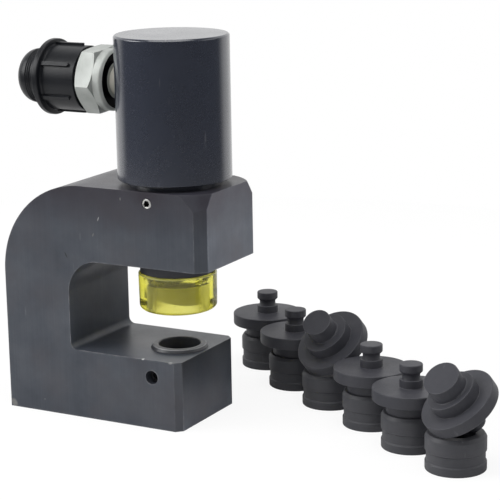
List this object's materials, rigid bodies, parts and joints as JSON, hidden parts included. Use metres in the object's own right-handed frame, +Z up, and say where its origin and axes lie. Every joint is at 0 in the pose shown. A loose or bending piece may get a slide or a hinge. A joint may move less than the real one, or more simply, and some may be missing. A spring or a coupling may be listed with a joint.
{
  "type": "hydraulic hole punch",
  "caption": "Hydraulic hole punch: a C-frame with a blind cylinder, quick coupler, punch with urethane stripper and die, with loose punch-and-die sets beside it.",
  "frame": {"origin": "centre of the C-frame's base face, on the surface that the part stands on", "axes": "+Z up, +X out of the throat's opening, +Y towards the side where the row of loose sets starts"},
  "size_m": [0.3051, 0.1709, 0.2246],
  "materials": {
    "black_oxide_frame": "satin black oxide on machined steel, worn along the edges",
    "black_barrel": "satin black barrel with fine turning marks",
    "bright_screw": "bright steel socket screw",
    "ground_steel": "ground and polished steel",
    "black_screw": "black socket screw",
    "seal_polymer": "moulded sealing polymer",
    "spring_steel": "oiled spring wire",
    "bronze": "turned bearing bronze",
    "black_tool_steel": "matt black oxide on turned tool steel",
    "yellow_urethane": "clear yellow cast urethane",
    "zinc_plate": "clear zinc plate on turned steel",
    "black_rubber": "nitrile rubber",
    "black_cap_plastic": "moulded black plastic with a satin grain"
  },
  "bodies": {
    "root": {"c_frame": "black_oxide_frame", "cylinder": "black_barrel", "cylinder_lock_screw": "bright_screw", "guide_bush": "bronze", "rod_wiper": "seal_polymer", "return_spring": "spring_steel", "die": "black_tool_steel", "coupler_nipple": "zinc_plate", "coupler_body": "zinc_plate", "coupler_oring": "black_rubber", "poppet_spring": "spring_steel", "punch_4": "black_tool_steel", "die_1": "black_tool_steel", "die_2": "black_tool_steel", "die_3": "black_tool_steel", "die_4": "black_tool_steel", "die_5": "black_tool_steel", "die_6": "black_tool_steel"},
    "ram": {"ram": "ground_steel", "piston": "ground_steel", "piston_screw": "black_screw", "piston_seal": "seal_polymer", "piston_backup_ring": "seal_polymer", "piston_wear_ring": "seal_polymer", "punch": "black_tool_steel", "punch_grub_screw": "black_screw", "stripper": "yellow_urethane"},
    "die_lock": {"die_lock_screw": "black_screw"},
    "poppet": {"coupler_poppet": "ground_steel"},
    "cap_slide": {"cap_seal": "black_rubber"},
    "cap": {"dust_cap": "black_cap_plastic"},
    "loose_punch_1": {"punch_1": "black_tool_steel"},
    "loose_punch_2": {"punch_2": "black_tool_steel"},
    "loose_punch_3": {"punch_3": "black_tool_steel"},
    "loose_punch_5": {"punch_5": "black_tool_steel"},
    "loose_punch_6": {"punch_6": "black_tool_steel"}
  },
  "joints": [
    {"name": "ram_slide", "type": "slide", "parent": "root", "child": "ram", "axis": [0, 0, -1], "range_m": [0, 0.03], "stiffness_N_per_m": 4000, "springref_m": -0.01, "deforming": ["stripper", "return_spring"]},
    {"name": "cap_pull", "type": "slide", "parent": "root", "child": "cap_slide", "axis": [-1, 0, 0], "range_m": [0, 0.008]},
    {"name": "cap_turn", "type": "hinge", "parent": "cap_slide", "child": "cap", "pos_m": [-0.03, 0, 0.1963], "axis": [-1, 0, 0], "range_deg": [0, 1440]},
    {"name": "poppet_slide", "type": "slide", "parent": "root", "child": "poppet", "axis": [1, 0, 0], "range_m": [0, 0.003], "stiffness_N_per_m": 300, "springref_m": -0.003, "deforming": ["poppet_spring"]},
    {"name": "die_lock_slide", "type": "slide", "parent": "root", "child": "die_lock", "axis": [0, -1, 0], "range_m": [0, 0.003]},
    {"name": "punch_1_lift", "type": "slide", "parent": "root", "child": "loose_punch_1", "axis": [0, 0, 1], "range_m": [0, 0.03]},
    {"name": "punch_2_lift", "type": "slide", "parent": "root", "child": "loose_punch_2", "axis": [0, 0, 1], "range_m": [0, 0.03]},
    {"name": "punch_3_lift", "type": "slide", "parent": "root", "child": "loose_punch_3", "axis": [0, 0, 1], "range_m": [0, 0.03]},
    {"name": "punch_5_lift", "type": "slide", "parent": "root", "child": "loose_punch_5", "axis": [0, 0, 1], "range_m": [0, 0.03]},
    {"name": "punch_6_lift", "type": "slide", "parent": "root", "child": "loose_punch_6", "axis": [0, 0, 1], "range_m": [0, 0.03]}
  ],
  "couplings": [
    {"joint": "cap_turn", "follows": "cap_pull", "rad_per_m": 3141.6}
  ]
}
